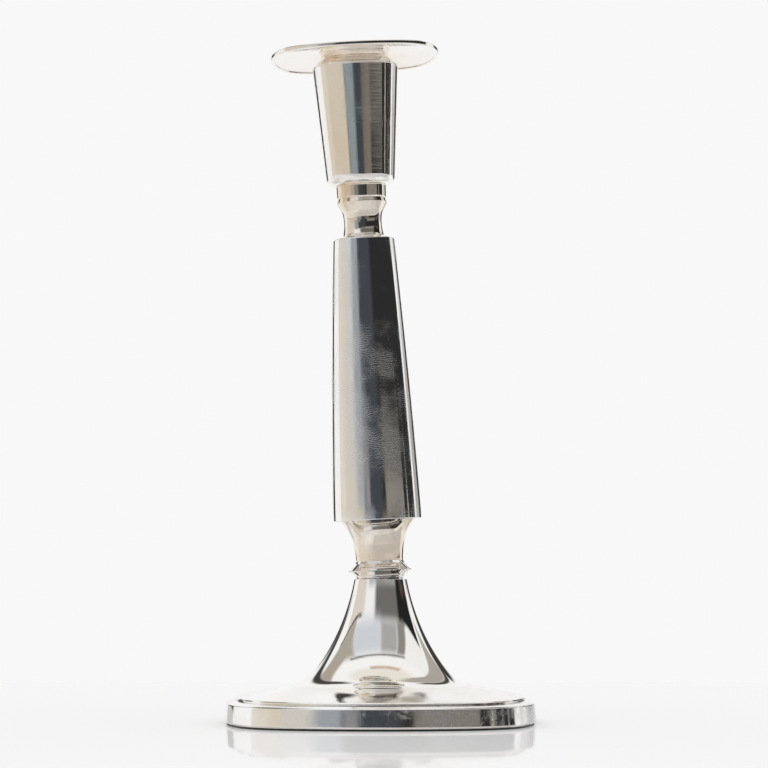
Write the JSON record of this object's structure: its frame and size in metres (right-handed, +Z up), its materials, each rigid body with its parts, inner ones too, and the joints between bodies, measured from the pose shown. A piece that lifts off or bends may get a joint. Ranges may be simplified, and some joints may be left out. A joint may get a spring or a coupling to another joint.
{
  "type": "altar candlestick",
  "caption": "Tall candlestick with a low stepped soft-square base, bell foot, knop, tapering shaft and a socket whose lift-off nozzle carries a low domed drip pan and holds a candle.",
  "frame": {"origin": "centre of the base, on the plane the candlestick stands on", "axes": "+Z up; the sides of the soft-square plan face X and Y; the stem leans 2.85 degrees to -X"},
  "size_m": [0.116, 0.116, 0.2545],
  "materials": {
    "silver": "polished silver plate",
    "steel": "plain steel",
    "plaster": "cast plaster",
    "felt": "dark baize"
  },
  "bodies": {
    "stand": {"felt_pad": "felt", "closing_plate": "steel", "base_rim": "silver", "foot_plate": "silver", "bell_foot": "silver", "base_filling": "plaster", "bell_filling": "plaster", "base_nut": "steel", "base_washer": "steel", "tie_rod": "steel", "knop_lower": "silver", "knop_upper": "silver", "lower_neck": "silver", "shaft_bottom_cap": "silver", "shaft_shell": "silver", "shaft_top_cap": "silver", "upper_neck": "silver", "socket_collar": "silver", "socket_cup": "silver", "top_washer": "steel", "top_nut": "steel"},
    "nozzle": {"nozzle_sleeve": "silver", "nozzle_collar": "silver", "drip_pan": "silver", "pan_border": "silver"}
  },
  "joints": [
    {"name": "nozzle_lift", "type": "slide", "parent": "stand", "child": "nozzle", "axis": [-0.0497, 0, 0.9988], "range_m": [0, 0.034]}
  ]
}
